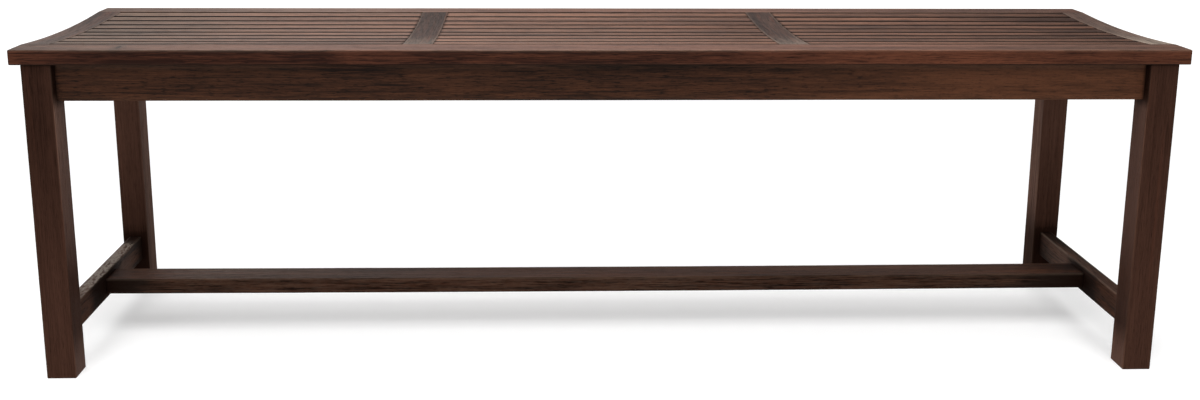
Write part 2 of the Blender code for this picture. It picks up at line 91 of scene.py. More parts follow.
# How far each kind of board is rounded along its edges.
JOINT_EASING = 0.0005
RAIL_ROUNDING = 0.0016
SLAT_ROUNDING = 0.0010
LEG_ROUNDING = 0.0013
APRON_ROUNDING = 0.001
STRETCHER_ROUNDING = 0.0015
LEAST_ROUNDING = 0.0002
MOST_ROUNDING = 0.45  # of the board's width or height

# How a board is meshed: steps along it, segments in each rounded corner, and the narrow strip beside a corner,
# which takes at most this share of half the flat face.
BOARD_STEP = 0.030
LEG_STEP = 0.012
END_STRETCHER_STEP = 0.015
CORNER_SEGMENTS = 4
FLANK = 0.002
# The aprons' wider strip spreads the front apron's painted shadow at its top and painted light at its foot onto its
# face.
APRON_FLANK = 0.009
FLANK_SHARE = 0.4
TONGUE_MARGIN = 0.0070
# Loops at a tongue's shoulder: how far back, how far in, and how much of the end grain's colour they carry.
SHOULDER = ((0.0040, 0.0, 0.0), (0.0015, 0.0, 0.6), (0.0001, 0.0001, 1.0), (0.0, 0.0004, 1.0))

# Hand-worked unevenness: how far the faces wander, how much the roundings vary, and both in waves a metre.
UNEVEN, FACE_WAVES = 0.00012, 9.0
UNEVEN_ROUNDING, ROUNDING_WAVES = 0.3, 28.0
# Wear at the sides and in the middle of a corner, and its share on the lower corners. On the slats these weights
# carry a painted shade instead of wear.
CORNER_WEAR, CORNER_MIDDLE_WEAR, LOWER_WEAR = 0.75, 0.25, 0.25
# How far boards differ in tone, and where their cuts lie in the tree.
TONE_SPREAD = 0.09
CUT_SPREAD = 40
PITH_ACROSS, PITH_THROUGH = (0.015, 0.07), (-0.05, 0.05)

# The grain's layers: features a metre along, across and through the board, then detail and roughness.
SWAY = ((1.3, 9.0, 9.0), 2.0, 0.5)
DRIFT = ((3.1, 26.0, 26.0), 2.0, 0.5)
BROAD = ((1.7, 34.0, 34.0), 2.0, 0.5)
RIBBON = ((5.0, 170.0, 170.0), 3.0, 0.6)
FIBRE = ((14.0, 700.0, 700.0), 3.0, 0.6)
PORES = ((75.0, 2600.0, 2600.0), 1.0, 0.5)
FLECKS = ((32.0, 640.0, 640.0), 2.0, 0.5)
LINES = ((3.2, 240.0, 240.0), 2.0, 0.5)
GLOW = ((4.5, 120.0, 120.0), 1.0, 0.5)
RAGGED = ((60.0, 260.0, 260.0), 2.0, 0.6)
RING_SPACING = 0.0085
WOOD_ROUGHNESS = 0.5

# The front rail's knot: its place along and across the bench, its stretch along the grain, and its sizes.
KNOT = (-0.619, -0.200)
KNOT_STRETCH = (1.0, 0.28, 1.0)
KNOT_SWIRL = (0.0, 0.013)
KNOT_HEART = (0.0014, 0.0042)

# The colours of open pores (also the near black of the painted shade on the slats' arrises), redder streaks, a
# painted sheen where faces catch the light, and arrises lightened by wear.
PORE = (0.010, 0.004, 0.0025)
STAIN = (0.170, 0.054, 0.030)
SHEEN_COLOUR = (0.225, 0.180, 0.145)
RUBBED = (0.26, 0.185, 0.135)

# Each wood: the colours of its darkest and lightest grain, and what sets it apart.
WOODS = {
    "long_rail": dict(dark=(0.022, 0.0070, 0.0040), light=(0.183, 0.0595, 0.0300),
                      specular=0.10, contrast=0.60, short=1.6),
    "short_rail": dict(dark=(0.016, 0.0080, 0.0060), light=(0.112, 0.0500, 0.0345),
                       specular=0.08, contrast=0.6, arris_weight=0.3),
    # The slats' arrises are pulled hard to the pores' near black: painted shade in the gaps between the slats. Their
    # sheen colour is a painted sheen.
    "slat": dict(dark=(0.020, 0.0085, 0.0050), light=(0.2120, 0.0950, 0.0550),
                 specular=0.10, contrast=0.85, short=1.4, arris_weight=1.5, arris=PORE, sheen_colour=(0.222, 0.182, 0.138)),
    # The legs' sheen colour is a warm painted sheen on their inner faces.
    "leg": dict(dark=(0.020, 0.0080, 0.0048), light=(0.1120, 0.0500, 0.0330),
                specular=0.03, contrast=0.27, sheen_colour=(0.29, 0.160, 0.115)),
    "apron": dict(dark=(0.016, 0.0060, 0.0028), light=(0.1347, 0.0487, 0.0217), contrast=0.68, short=2.6),
    # The stretchers' painted sheen is torn into ragged patches.
    "stretcher": dict(dark=(0.014, 0.0055, 0.0030), light=(0.146, 0.0550, 0.0270),
                      specular=0.06, contrast=0.6, short=1.5, torn=11.0),
    "hidden": dict(dark=(0.040, 0.016, 0.010), light=(0.1867, 0.08, 0.0473)),
}

# The pale floor: a lift so that it photographs white, and the share of light it throws back on the bench.
FLOOR_REACH = 30.0
FLOOR_LIFT = 0.13
FLOOR_THROWN = 0.36

# The camera, fitted to the photograph.
CAMERA_PLACE = (-0.08672, -2.11611, 0.70999)
CAMERA_YAW, CAMERA_PITCH, CAMERA_ROLL = -0.04046, 0.24302, 0.00573
SENSOR_WIDTH = 36.0
FOCAL_PIXELS, PHOTO_WIDTH = 1507.06, 1200

X, Y, Z = (1, 0, 0), (0, 1, 0), (0, 0, 1)
QUARTER_TURN = math.radians(90)
SIDES = {"left": -1, "right": 1}
# Which way a face of a board looks, across and through it. AHEAD is to the bench's front on a lengthwise board.
UP, DOWN, AHEAD = (0, 1), (0, -1), (-1, 0)


def seat_top(y):
    """Height of the dished seat at this depth."""
    if abs(y) >= OPENING_HALF_DEPTH:
        return SEAT_HEIGHT
    return SEAT_HEIGHT - SEAT_DISH + DISH_RADIUS - math.sqrt(DISH_RADIUS**2 - y**2)


def both_signs(sign, near, far):
    """The pair near and far from the middle, in rising order on this side."""
    return (near, far) if sign > 0 else (-far, -near)


# Shader sums -------------------------------------------------------------------------------------

class Value:
    """A node socket that works in Python sums: each operator adds its Math node."""

    def __init__(self, finish, socket):
        self.finish, self.socket = finish, socket

    def math(self, operation, *terms):
        """The result of this Math operation on these terms."""
        return self.finish.node("ShaderNodeMath", {"operation": operation}, dict(enumerate(terms)))

    def __add__(self, other):
        return self.math("ADD", self, other)

    def __sub__(self, other):
        return self.math("SUBTRACT", self, other)

    def __rsub__(self, other):
        return self.math("SUBTRACT", other, self)

    def __mul__(self, other):
        return self.math("MULTIPLY", self, other)

    def __truediv__(self, other):
        return self.math("DIVIDE", self, other)

    def __pow__(self, other):
        return self.math("POWER", self, other)

    __radd__ = __add__
    __rmul__ = __mul__

    def limited(self):
        """Kept between 0 and 1."""
        return self.finish.node("ShaderNodeClamp", {}, {0: self})

    def above(self, start, end):
        """0 below start, 1 above end, with a smooth step between."""
        return self.finish.node("ShaderNodeMapRange", {"interpolation_type": "SMOOTHSTEP"},
                                {0: self, 1: start, 2: end, 3: 0.0, 4: 1.0})


class Finish:
    """The node tree of a material or of the studio's surroundings."""

    def __init__(self, owner):
        owner.use_nodes = True
        self.tree = owner.node_tree
        self.tree.nodes.clear()

    def node(self, kind, settings, inputs, output=0):
        """Add a node: its settings, then the values or links of its sockets."""
        node = self.tree.nodes.new(kind)
        for key, setting in settings.items():
            setattr(node, key, setting)
        for key, value in inputs.items():
            if isinstance(value, Value):
                self.tree.links.new(value.socket, node.inputs[key])
            elif isinstance(value, tuple) and len(value) == 3 and node.inputs[key].type == "RGBA":
                node.inputs[key].default_value = (*value, 1.0)
            else:
                node.inputs[key].default_value = value
        return Value(self, node.outputs[output]) if node.outputs else None

    def mixed(self, factor, first, second):
        """The first colour, and by this factor the second."""
        return self.node("ShaderNodeMix", {"data_type": "RGBA"}, {0: factor, 6: first, 7: second}, 2)

    def stretched(self, place, scale):
        """A vector times another, number by number."""
        return self.node("ShaderNodeVectorMath", {"operation": "MULTIPLY"}, {0: place, 1: scale})

    def grey(self, value):
        """The grey of this value."""
        return self.node("ShaderNodeCombineXYZ", {}, {0: value, 1: value, 2: value})

    def length(self, vector):
        return self.node("ShaderNodeVectorMath", {"operation": "LENGTH"}, {0: vector}, 1)

    def split(self, vector):
        """The three numbers of a vector."""
        first = self.node("ShaderNodeSeparateXYZ", {}, {0: vector})
        return [Value(self, socket) for socket in first.socket.node.outputs]

    def clouds(self, place, scale, detail=2.0, roughness=0.5):
        """Noise with this many features a metre along each axis of place."""
        return self.node("ShaderNodeTexNoise", {}, {
            "Vector": self.stretched(place, scale), "Scale": 1.0, "Detail": detail, "Roughness": roughness})

    def attribute(self, name, output=2):
        """What a board carries on its points."""
        return self.node("ShaderNodeAttribute", {"attribute_name": name}, {}, output)

    def place(self, output=3):
        """Where a point of the object lies."""
        return self.node("ShaderNodeTexCoord", {}, {}, output)

    def polished(self, **sockets):
        """The surface of a material, from its sockets by name."""
        surface = self.node("ShaderNodeBsdfPrincipled", {}, sockets)
        self.node("ShaderNodeOutputMaterial", {}, {"Surface": surface})


def wood(name, dark, light, specular=0.14, contrast=1.0, arris_weight=0.2, arris=RUBBED, sheen_colour=SHEEN_COLOUR, short=1.0, torn=0.0,
         knot=None, cad_turn=None):
    """Open-pored hardwood with rings, ribbon streaks, pores, stray stains, arrises softened by wear, and the painted
    shade, light and sheen that the board's points carry.

    contrast is how strong the figure is, and short how much shorter the streaks are than usual. arris_weight is how
    strongly arrises turn to the colour arris: a lighter wear on most woods, and a near-black painted shade in the
    gaps on the slats. sheen_colour is the colour of a painted sheen on faces that catch the light, and torn how
    ragged that is. knot is a knot's place in the grain. A CAD solid carries no board's points, so cad_turn turns the
    grain on it.
    """
    material = bpy.data.materials.new(name)
    f = Finish(material)
    swept = cad_turn is None
    if swept:
        grain = f.attribute("grain", 1)
        tone, pale, wear_and_shade, cut_end = (f.attribute(key) for key in ("tone", "pale", "wear_and_shade", "cut_end"))
    else:
        grain = f.node("ShaderNodeMapping", {}, {"Vector": f.place(), "Rotation": cad_turn})
    _, across, through = f.split(grain)

    sway = f.clouds(grain, *SWAY) - 0.5
    drift = f.clouds(grain, *DRIFT) - 0.5
    y = across + sway * 0.045 + drift * 0.006
    z = through + sway * 0.020
    radius = (y * y + z * z) ** 0.5
    if knot:
        away = f.node("ShaderNodeVectorMath", {"operation": "SUBTRACT"}, {0: grain, 1: knot})
        away = f.length(f.stretched(away, KNOT_STRETCH))
        swirl = 1.0 - away.above(*KNOT_SWIRL)
        heart = 1.0 - away.above(*KNOT_HEART)
        radius = radius + swirl * 0.012
    turns = radius / RING_SPACING
    rings = turns.math("PINGPONG", turns, 0.5) * 2.0
    late = rings ** 3.0

    grain = f.stretched(grain, (short, 1.0, 1.0))
    broad = f.clouds(grain, *BROAD) - 0.5
    ribbon = f.clouds(grain, *RIBBON) - 0.5
    fibre = f.clouds(grain, *FIBRE) - 0.5
    pores = f.clouds(grain, *PORES).above(0.60, 0.70)
    flecks = f.clouds(grain, *FLECKS).above(0.55, 0.66)
    lines = f.clouds(grain, *LINES).above(0.60, 0.70)
    glow = f.clouds(grain, *GLOW).above(0.62, 0.80)

    figure = broad * 1.3 + ribbon * 1.1 + fibre * 1.8 - late * 0.18 - lines * 0.38 - flecks * 0.42
    level = 0.45 + figure * contrast
    # The tone attribute is each board's own tone, plus the runs of painted shade and painted light that darken or
    # lighten its faces.
    if swept:
        level = level + tone * 0.75
    if knot:
        level = level - swirl * 0.25
    colour = f.mixed(level.limited(), dark, light)
    colour = f.mixed(glow * (0.40 * contrast), colour, STAIN)
    colour = f.mixed(pores * 0.55, colour, PORE)
    gloss = WOOD_ROUGHNESS + ribbon * 0.20 + pores * 0.12 + flecks * 0.08
    # Painted sheen: the pale attribute turns the colour, in patches, towards the grey of the light that tops and
    # inner faces catch; torn makes it ragged.
    if swept:
        patchy = broad * 1.6 + ribbon * 1.5 + fibre * 3.0 - flecks * 0.6 + 1.0
        if torn:
            patchy = patchy + (f.clouds(grain, *RAGGED) - 0.5) * torn * pale ** 0.6
        colour = f.mixed((pale * patchy).limited(), colour, sheen_colour)
    if knot:
        colour = f.mixed(heart * 0.85, colour, PORE)
    # Arrises: lighter wear on most woods; on the slats a near-black painted shade that darkens the gaps between them.
    if swept:
        marked_arris = (wear_and_shade * (0.7 + fibre * 1.2 + broad * 2.0)).limited()
        colour = f.mixed(marked_arris * arris_weight, colour, arris)
        colour = f.mixed(cut_end * 0.75, colour, PORE)
        gloss = gloss - tone * 0.2 - marked_arris * 0.08 + cut_end * 0.15
    height = fibre * 0.4 + ribbon * 0.3 - late * 0.15 - pores * 0.5 - flecks * 0.3
    relief = f.node("ShaderNodeBump", {}, {"Strength": 0.35, "Distance": 0.0004, "Height": height})
    f.polished(**{"Base Color": colour, "Roughness": gloss, "Normal": relief, "Specular IOR Level": specular})
    return material


def steel():
    """Zinc-plated screw steel, faintly mottled and scratched."""
    material = bpy.data.materials.new("screw_steel")
    f = Finish(material)
    place = f.place()
    mottle = f.clouds(place, (900.0, 900.0, 900.0), 3.0)
    scratch = f.clouds(place, (4000.0, 300.0, 4000.0), 2.0)
    colour = f.mixed(mottle, (0.42, 0.40, 0.35), (0.66, 0.64, 0.58))
    relief = f.node("ShaderNodeBump", {}, {"Strength": 0.2, "Distance": 0.0001, "Height": scratch})
    f.polished(**{"Base Color": colour, "Metallic": 1.0, "Roughness": 0.25 + mottle * 0.25, "Normal": relief})
    return material


# Boards ------------------------------------------------------------------------------------------

def fixed(low_a, high_a, low_b, high_b):
    """The same rectangle all along."""
    return lambda s: (low_a, high_a, low_b, high_b)


def outer_corners(side, outer):
    """The four roundings of a board whose outer edges lie on this side, and whose inner ones are only eased."""
    return (outer, JOINT_EASING, JOINT_EASING, outer) if side > 0 else (JOINT_EASING, outer, outer, JOINT_EASING)


def ring(low_a, high_a, low_b, high_b, radii, flank):
    """Points of a rectangle with rounded corners: (across, through, the arris weight for wear and for the slats'
    painted shade, which way it faces).
    """
    points = []
    width, height = high_a - low_a, high_b - low_b
    for corner, (sign_a, sign_b) in enumerate(((1, 1), (-1, 1), (-1, -1), (1, -1))):
        r = min(radii[corner], MOST_ROUNDING * width, MOST_ROUNDING * height)
        centre_a = (high_a if sign_a > 0 else low_a) - sign_a * r
        centre_b = (high_b if sign_b > 0 else low_b) - sign_b * r
        flank_a = min(flank, FLANK_SHARE * (width / 2 - r))
        flank_b = min(flank, FLANK_SHARE * (height / 2 - r))
        arc = []
        for k in range(CORNER_SEGMENTS + 1):
            angle = QUARTER_TURN * k / CORNER_SEGMENTS
            reach_a, reach_b = math.cos(angle), math.sin(angle)
            wear_and_shade = (CORNER_WEAR + CORNER_MIDDLE_WEAR * math.sin(2 * angle)) * (1.0 if sign_b > 0 else LOWER_WEAR)
            arc.append((centre_a + sign_a * r * reach_a, centre_b + sign_b * r * reach_b, wear_and_shade,
                        (sign_a * reach_a, sign_b * reach_b)))
        side = (arc[0][0], arc[0][1] - sign_b * flank_b, 0.0, (sign_a, 0.0))
        top = (arc[-1][0] - sign_a * flank_a, arc[-1][1], 0.0, (0.0, sign_b))
        turn = [side, *arc, top]
        points += turn if sign_a * sign_b > 0 else turn[::-1]
    return points


class Board:
    """A bar of wood swept along its grain, with rounded ends or tongues.

    Its runs say how its tone or paleness changes; besides the wood's own colour, they lay on painted shade, painted
    light and a painted sheen. Each is (key, the way the face looks or None for all faces, pairs of a place along the
    board and a value). edging is how strongly its arrises are marked: wear, and on the slats painted shade.
    """

    def __init__(self, name, axes, section, span, radii, ends, shade=0.0, runs=(), origin=(0, 0, 0), sag=0.0,
                 step=BOARD_STEP, flank=FLANK, edging=1.0):
        self.name, self.origin, self.sag, self.flank, self.edging = name, Vector(origin), sag, flank, edging
        self.half_length = max(abs(end) for end in span)
        self.along, self.across, self.through = (Vector(axis) for axis in axes)
        self.section, self.radii, self.runs = section, radii, runs
        draw = random.Random(name)
        self.tone = shade + draw.uniform(-TONE_SPREAD, TONE_SPREAD)
        self.shift = Vector([draw.uniform(-CUT_SPREAD, CUT_SPREAD) for _ in range(3)])
        self.pith = (draw.uniform(*PITH_ACROSS), draw.uniform(*PITH_THROUGH))
        self.rings = []
        low, high = span
        self.end(low, -1, ends[0])
        count = max(2, round((high - low) / step))
        margin = max(end[1] if end[0] == "round" else TONGUE_MARGIN for end in ends)
        for k in range(count + 1):
            self.body(low + margin + (high - low - 2 * margin) * k / count)
        self.end(high, 1, ends[1])

    def wander(self, key, s, waves):
        return noise.noise(Vector((s * waves, key * 7.3, 0.0)) + self.shift)

    def body(self, s, inset=0.0, round_end=0.0, cut_end=0.0, wear_and_shade=0.0, box=None, radii=None):
        """Add a loop at s, of the board's own section or of this box."""
        low_a, high_a, low_b, high_b = box or self.section(s)
        if box is None:
            pull = [inset + UNEVEN * (0.5 + 0.5 * self.wander(k, s, FACE_WAVES)) for k in range(4)]
            low_a, high_a, low_b, high_b = low_a + pull[0], high_a - pull[1], low_b + pull[2], high_b - pull[3]
        corners = radii or [r * (1.0 + UNEVEN_ROUNDING * self.wander(k + 5, s, ROUNDING_WAVES))
                            for k, r in enumerate(self.radii)]
        corners = [max(r - round_end, LEAST_ROUNDING) for r in corners]
        self.rings.append((s, cut_end, wear_and_shade, ring(low_a, high_a, low_b, high_b, corners, self.flank)))

    def end(self, s, side, form):
        """Close one end: ("round", rounding) is rounded end grain, ("tongue", length, box) a shouldered tongue."""
        before = self.rings
        self.rings = []
        kind, size = form[:2]
        if kind == "round":
            for k in range(1, CORNER_SEGMENTS + 1):
                angle = QUARTER_TURN * k / CORNER_SEGMENTS
                inset = size * (1 - math.cos(angle))
                place = s - side * size * (1 - math.sin(angle))
                self.body(place, inset, inset, k / CORNER_SEGMENTS, math.sin(2 * angle))
            self.body(s, size + FLANK, size + FLANK, 1.0)
        else:
            for back, inset, cut_end in SHOULDER:
                self.body(s - side * back, inset, 0.0, cut_end)
            box, eased = form[2], [JOINT_EASING] * 4
            self.body(s, box=box, radii=eased)
            self.body(s + side * (size - JOINT_EASING), box=box, radii=eased)
            low_a, high_a, low_b, high_b = box
            smaller = (low_a + JOINT_EASING, high_a - JOINT_EASING, low_b + JOINT_EASING, high_b - JOINT_EASING)
            self.body(s + side * size, box=smaller, radii=eased, cut_end=1.0)
        if side < 0:
            self.rings.reverse()
        self.rings = before + self.rings

    def run_at(self, key, s, way):
        """What the board's runs of this key add at s, on a point that looks this way."""
        total = 0.0
        for name, facing, run in self.runs:
            if name != key:
                continue
            here = run[0][1] if s <= run[0][0] else run[-1][1]
            for (s0, v0), (s1, v1) in zip(run, run[1:]):
                if s0 < s <= s1:
                    here = v0 + (v1 - v0) * (s - s0) / (s1 - s0)
            total += here * (max(0.0, facing[0] * way[0] + facing[1] * way[1]) if facing else 1.0)
        return total

    def grain_at(self, s, a, b):
        """Where a point of the board lies in the tree it was cut from."""
        return s + self.shift.x, a + self.pith[0], b + self.pith[1]

    def build(self, material):
        """Make the mesh, carry the grain on its points, and stand it for the CAD node of its name."""
        bm = bmesh.new()
        grain = bm.verts.layers.float_vector.new("grain")
        tone, pale, wear_and_shade, cut_end = (bm.verts.layers.float.new(key) for key in ("tone", "pale", "wear_and_shade", "cut_end"))
        loops = []
        for s, end, arris_weight, points in self.rings:
            low = self.sag * (1.0 - (s / self.half_length) ** 2)
            loop = []
            for a, b, edge, way in points:
                place = self.origin + self.along * s + self.across * a + self.through * b
                vertex = bm.verts.new(place - Vector((0.0, 0.0, low)))
                vertex[grain] = self.grain_at(s, a, b)
                vertex[tone] = self.tone + self.run_at("tone", s, way)
                vertex[pale], vertex[cut_end] = self.run_at("pale", s, way), end
                vertex[wear_and_shade] = max(edge * self.edging, arris_weight)
                loop.append(vertex)
            loops.append(loop)
        for near, far in zip(loops, loops[1:]):
            for k, vertex in enumerate(near):
                j = (k + 1) % len(near)
                bm.faces.new((vertex, near[j], far[j], far[k]))
        bm.faces.new(loops[0][::-1])
        bm.faces.new(loops[-1])
        bmesh.ops.recalc_face_normals(bm, faces=bm.faces[:])
        mesh = bpy.data.meshes.new(self.name + "_board")
        bm.to_mesh(mesh)
        bm.free()
        mesh.shade_smooth()
        mesh.materials.append(material)
        board = bpy.data.objects.new(self.name + "_board", mesh)
        bpy.context.collection.objects.link(board)
        flat = board.modifiers.new("flat faces", "WEIGHTED_NORMAL")
        flat.weight = 90
        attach(board, "root")
        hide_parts(self.name)


def tongues(length, box):
    """The same tongue at both ends."""
    return [("tongue", length, box)] * 2


# The bench ---------------------------------------------------------------------------------------

def build_long_rails():
    """The front and back rails. Each has its own run of the wood, because the front one has a knot."""
    front_runs = (
        ("tone", UP, ((-0.74, -0.5), (-0.58, -0.15), (-0.40, 0.05), (0.4, 0.08), (0.6, -0.22))),
        # The front rail's underside and lower arris are darkened all along: painted shade under the rail.
        ("tone", DOWN, ((0.0, -1.2),)),
        ("tone", AHEAD, ((-0.75, 0.25), (-0.68, -0.30), (-0.59, -0.45), (-0.36, -0.32), (-0.33, 0.12),
                         (-0.28, 0.04), (-0.22, -0.34), (0.1, -0.36), (0.22, -0.02), (0.35, 0.22),
                         (0.47, 0.42), (0.6, 0.10), (0.75, 0.08))),
        # A painted sheen along the front rail's top.
        ("pale", UP, ((-0.75, 0.17), (0.0, 0.13), (0.5, 0.12))),
    )
    back_runs = (
        ("tone", UP, ((-0.75, -0.5), (-0.45, -0.05), (0.5, -0.25))),
        # The back rail's face towards the slats is darkened: painted shade in the gap.
        ("tone", AHEAD, ((0.0, -1.3),)),
        # A painted sheen along the back rail's top.
        ("pale", UP, ((-0.75, 0.18), (-0.45, 0.34), (-0.2, 0.13), (0.3, 0.12))),
    )
    for name, side, runs in (("front_rail", -1, front_runs), ("back_rail", 1, back_runs)):
        section = fixed(*both_signs(side, OPENING_HALF_DEPTH, HALF_DEPTH), UNDERSIDE, SEAT_HEIGHT)
        rail = Board(name, (X, Y, Z), section, (-HALF_LENGTH, HALF_LENGTH), outer_corners(side, RAIL_ROUNDING),
                     [("round", RAIL_ROUNDING)] * 2, runs=runs)
        knot = rail.grain_at(*KNOT, SEAT_HEIGHT) if side < 0 else None
        rail.build(wood(name + "_wood", knot=knot, **WOODS["long_rail"]))


def build_short_rails():
    """The end and cross rails, tenoned between the long ones, their tops sunk to the dish."""
    finish = wood("short_rail_wood", **WOODS["short_rail"])
    reach = OPENING_HALF_DEPTH - FIT
    kinds = {"end": (END_RAIL_FACES, RAIL_ROUNDING, -0.18), "cross": (CROSS_RAIL_FACES, JOINT_EASING, -0.42)}
    # Painted sheen on the short rails' tops, strongest as a painted highlight at the front of the right end rail.
    pale_tops = {
        "end_rail_left": ((-0.17, 0.12), (0.17, 0.02)),
        "end_rail_right": ((-0.17, 0.85), (-0.05, 0.26), (0.10, 0.12)),
        "cross_rail_left": ((-0.17, 0.26), (-0.06, 0.03)),
        "cross_rail_right": ((-0.17, 0.26), (-0.06, 0.03)),
    }
    for where, side in SIDES.items():
        for kind, (faces, rounding, shade) in kinds.items():
            name = f"{kind}_rail_{where}"
            low, high = both_signs(side, *faces)
            tongue = (low + RAIL_TONGUE_SHOULDER, high - RAIL_TONGUE_SHOULDER, *RAIL_TONGUE_HEIGHTS)
            rail = Board(name, (Y, X, Z), lambda s, low=low, high=high: (low, high, UNDERSIDE, seat_top(s)),
                         (-reach, reach), outer_corners(side, rounding), tongues(RAIL_TONGUE_LENGTH, tongue),
                         shade=shade, runs=[("pale", UP, pale_tops[name])])
            rail.build(finish)


def build_slats():
    """Nine slats in each of three bays, set along the dish."""
    finish = wood("slat_wood", **WOODS["slat"])
    runs = (
        # Both sides of each slat are darkened all along: painted shade in the gaps between the slats.
        ("tone", AHEAD, ((0.0, -1.3),)),
        ("tone", (1, 0), ((0.0, -1.3),)),
        ("tone", UP, ((-0.72, -0.36), (-0.50, 0.02), (0.04, 0.02), (0.22, -0.16), (0.23, 0.0), (0.55, 0.0),
                      (0.71, -0.29))),
        # A painted sheen on the slats' tops, strongest at the left.
        ("pale", UP, ((-0.7, 0.20), (-0.45, 0.06), (0.2, 0.0))),
    )
    end_rail, (near, far) = END_RAIL_FACES[0], CROSS_RAIL_FACES
    plain = (1.0,) * SLATS_PER_BAY
    # Each bay: its ends, how far the painted shade at its arrises reaches into the faces, and from front to back each
    # slat's shade of colour and how strongly the painted shade marks its arrises.
    bays = {
        "left": (-end_rail, -far, 0.0035, (0.05,) * SLATS_PER_BAY, (0.7, *plain[1:])),
        "middle": (-near, near, 0.0015, (0.19, 0.17, 0.06, -0.02, 0.0, 0.04, 0.09, 0.15, 0.17),
                   (0.25, 0.6, 0.8, *plain[3:])),
        "right": (far, end_rail, 0.0035, (-0.01,) * SLATS_PER_BAY, plain),
    }
    half = SLAT_WIDTH / 2
    for bay, (low, high, flank, shades, edgings) in bays.items():
        for i in range(SLATS_PER_BAY):
            y = -OPENING_HALF_DEPTH + SLAT_GAP + half + i * (SLAT_WIDTH + SLAT_GAP)
            tilt = math.asin(y / DISH_RADIUS)
            axes = (X, (0, math.cos(tilt), math.sin(tilt)), (0, -math.sin(tilt), math.cos(tilt)))
            slat = Board(f"slat_{bay}_{i + 1}", axes, fixed(-half, half, -SLAT_THICKNESS, 0.0),
                         (low + FIT, high - FIT), [SLAT_ROUNDING] * 4, tongues(SLAT_TONGUE_LENGTH, SLAT_TONGUE),
                         shade=shades[i], runs=runs, origin=(0, y, seat_top(y)), flank=flank, edging=edgings[i])
            slat.build(finish)


def build_legs():
    """Four square legs. Up each: the inner face's tone and paleness, and the front's tone and paleness. On the inner
    faces these are painted light and a painted sheen, and a painted shadow where the aprons meet the legs.
    """
    finish = wood("leg_wood", **WOODS["leg"])
    # The back legs' fronts: painted shade low down by the stretchers, painted light higher up, and a faint painted
    # sheen.
    back_front = (((0.075, -1.4), (0.10, 0.0), (0.15, 0.25), (0.25, 0.65), (0.36, 0.75)),
                  ((0.10, 0.0), (0.36, 0.11)))
    faces = {
        "leg_front_left": (
            ((0.0, 0.9), (0.03, 0.6), (0.06, 0.0), (0.13, 0.0), (0.19, 0.4), (0.36, 0.7), (0.372, -1.2)),
            ((0.0, 0.2), (0.05, 0.0), (0.13, 0.0), (0.2, 0.12), (0.36, 0.48), (0.372, 0.0)),
            ((0.0, 0.15), (0.12, 0.1), (0.25, -0.1), (0.33, -0.25)), ((0.0, 0.0),)),
        "leg_back_left": (
            ((0.07, -0.3), (0.13, 0.0), (0.2, 0.1), (0.36, 0.7), (0.372, -1.2)),
            ((0.08, 0.30), (0.14, 0.30), (0.36, 0.54), (0.372, 0.0)), *back_front),
        "leg_front_right": (
            ((0.0, 0.9), (0.03, 0.6), (0.06, -0.3), (0.13, 0.0), (0.19, 0.4), (0.36, 0.7), (0.372, -1.2)),
            ((0.0, 0.2), (0.05, 0.0), (0.13, 0.0), (0.2, 0.03), (0.36, 0.12), (0.372, 0.0)),
            ((0.1, 0.12), (0.36, -0.08)), ((0.0, 0.0),)),
        "leg_back_right": (
            ((0.07, -1.0), (0.13, 0.0), (0.2, 0.1), (0.36, 0.7), (0.372, -1.2)),
            ((0.08, 0.05), (0.14, 0.30), (0.36, 0.22), (0.372, 0.0)), *back_front),
    }
    for name, (inner_tone, inner_pale, front_tone, front_pale) in faces.items():
        side = SIDES[name.rsplit("_", 1)[1]]
        depth = 1 if "back" in name else -1
        box = (*both_signs(side, LEG_INNER, LEG_OUTER), *both_signs(depth, LEG_REAR, LEG_FRONT))
        runs = (("tone", (-side, 0), inner_tone), ("pale", (-side, 0), inner_pale),
                ("tone", (0, -1), front_tone), ("pale", (0, -1), front_pale))
        leg = Board(name, (Z, X, Y), fixed(*box), (0.0, FRAME_TOP), [LEG_ROUNDING] * 4,
                    [("round", LEG_ROUNDING)] * 2, runs=runs, step=LEG_STEP)
        leg.build(finish)


def build_aprons():
    """The long aprons and the end aprons under the seat. Only the front one shows in the photograph."""
    finish = wood("apron_wood", **WOODS["apron"])
    bottom = FRAME_TOP - APRON_HEIGHT
    front_runs = (
        ("tone", None, ((-0.7, -0.10), (-0.45, -0.02), (-0.35, 0.0), (0.1, -0.16), (0.4, 0.4), (0.7, 0.45))),
        # Painted shadow under the front rail's overhang along the apron's top, and painted light along its foot.
        ("tone", UP, ((0.2, -0.9), (0.6, 0.1))),
        ("tone", DOWN, ((0.0, 0.4),)),
    )
    # Each apron: its axes, its side, its faces, its reach, its tongues' length, its runs and its flank.
    long, short = (X, Y, Z), (Y, X, Z)
    aprons = {
        "apron_front": (long, -1, LONG_APRON_FACES, LEG_INNER, LONG_APRON_TONGUE_LENGTH, front_runs, APRON_FLANK),
        "apron_back": (long, 1, LONG_APRON_FACES, LEG_INNER, LONG_APRON_TONGUE_LENGTH, (), APRON_FLANK),
        "apron_left": (short, -1, END_APRON_FACES, LEG_REAR, END_APRON_TONGUE_LENGTH, (), FLANK),
        "apron_right": (short, 1, END_APRON_FACES, LEG_REAR, END_APRON_TONGUE_LENGTH, (), FLANK),
    }
    shoulder, height_shoulder = APRON_TONGUE_SHOULDERS
    for name, (axes, side, faces, reach, length, runs, flank) in aprons.items():
        low, high = both_signs(side, *faces)
        tongue = (low + shoulder, high - shoulder, bottom + height_shoulder, FRAME_TOP - height_shoulder)
        apron = Board(name, axes, fixed(low, high, bottom, FRAME_TOP), (FIT - reach, reach - FIT),
                      [APRON_ROUNDING] * 4, tongues(length, tongue), runs=runs, flank=flank)
        apron.build(finish)


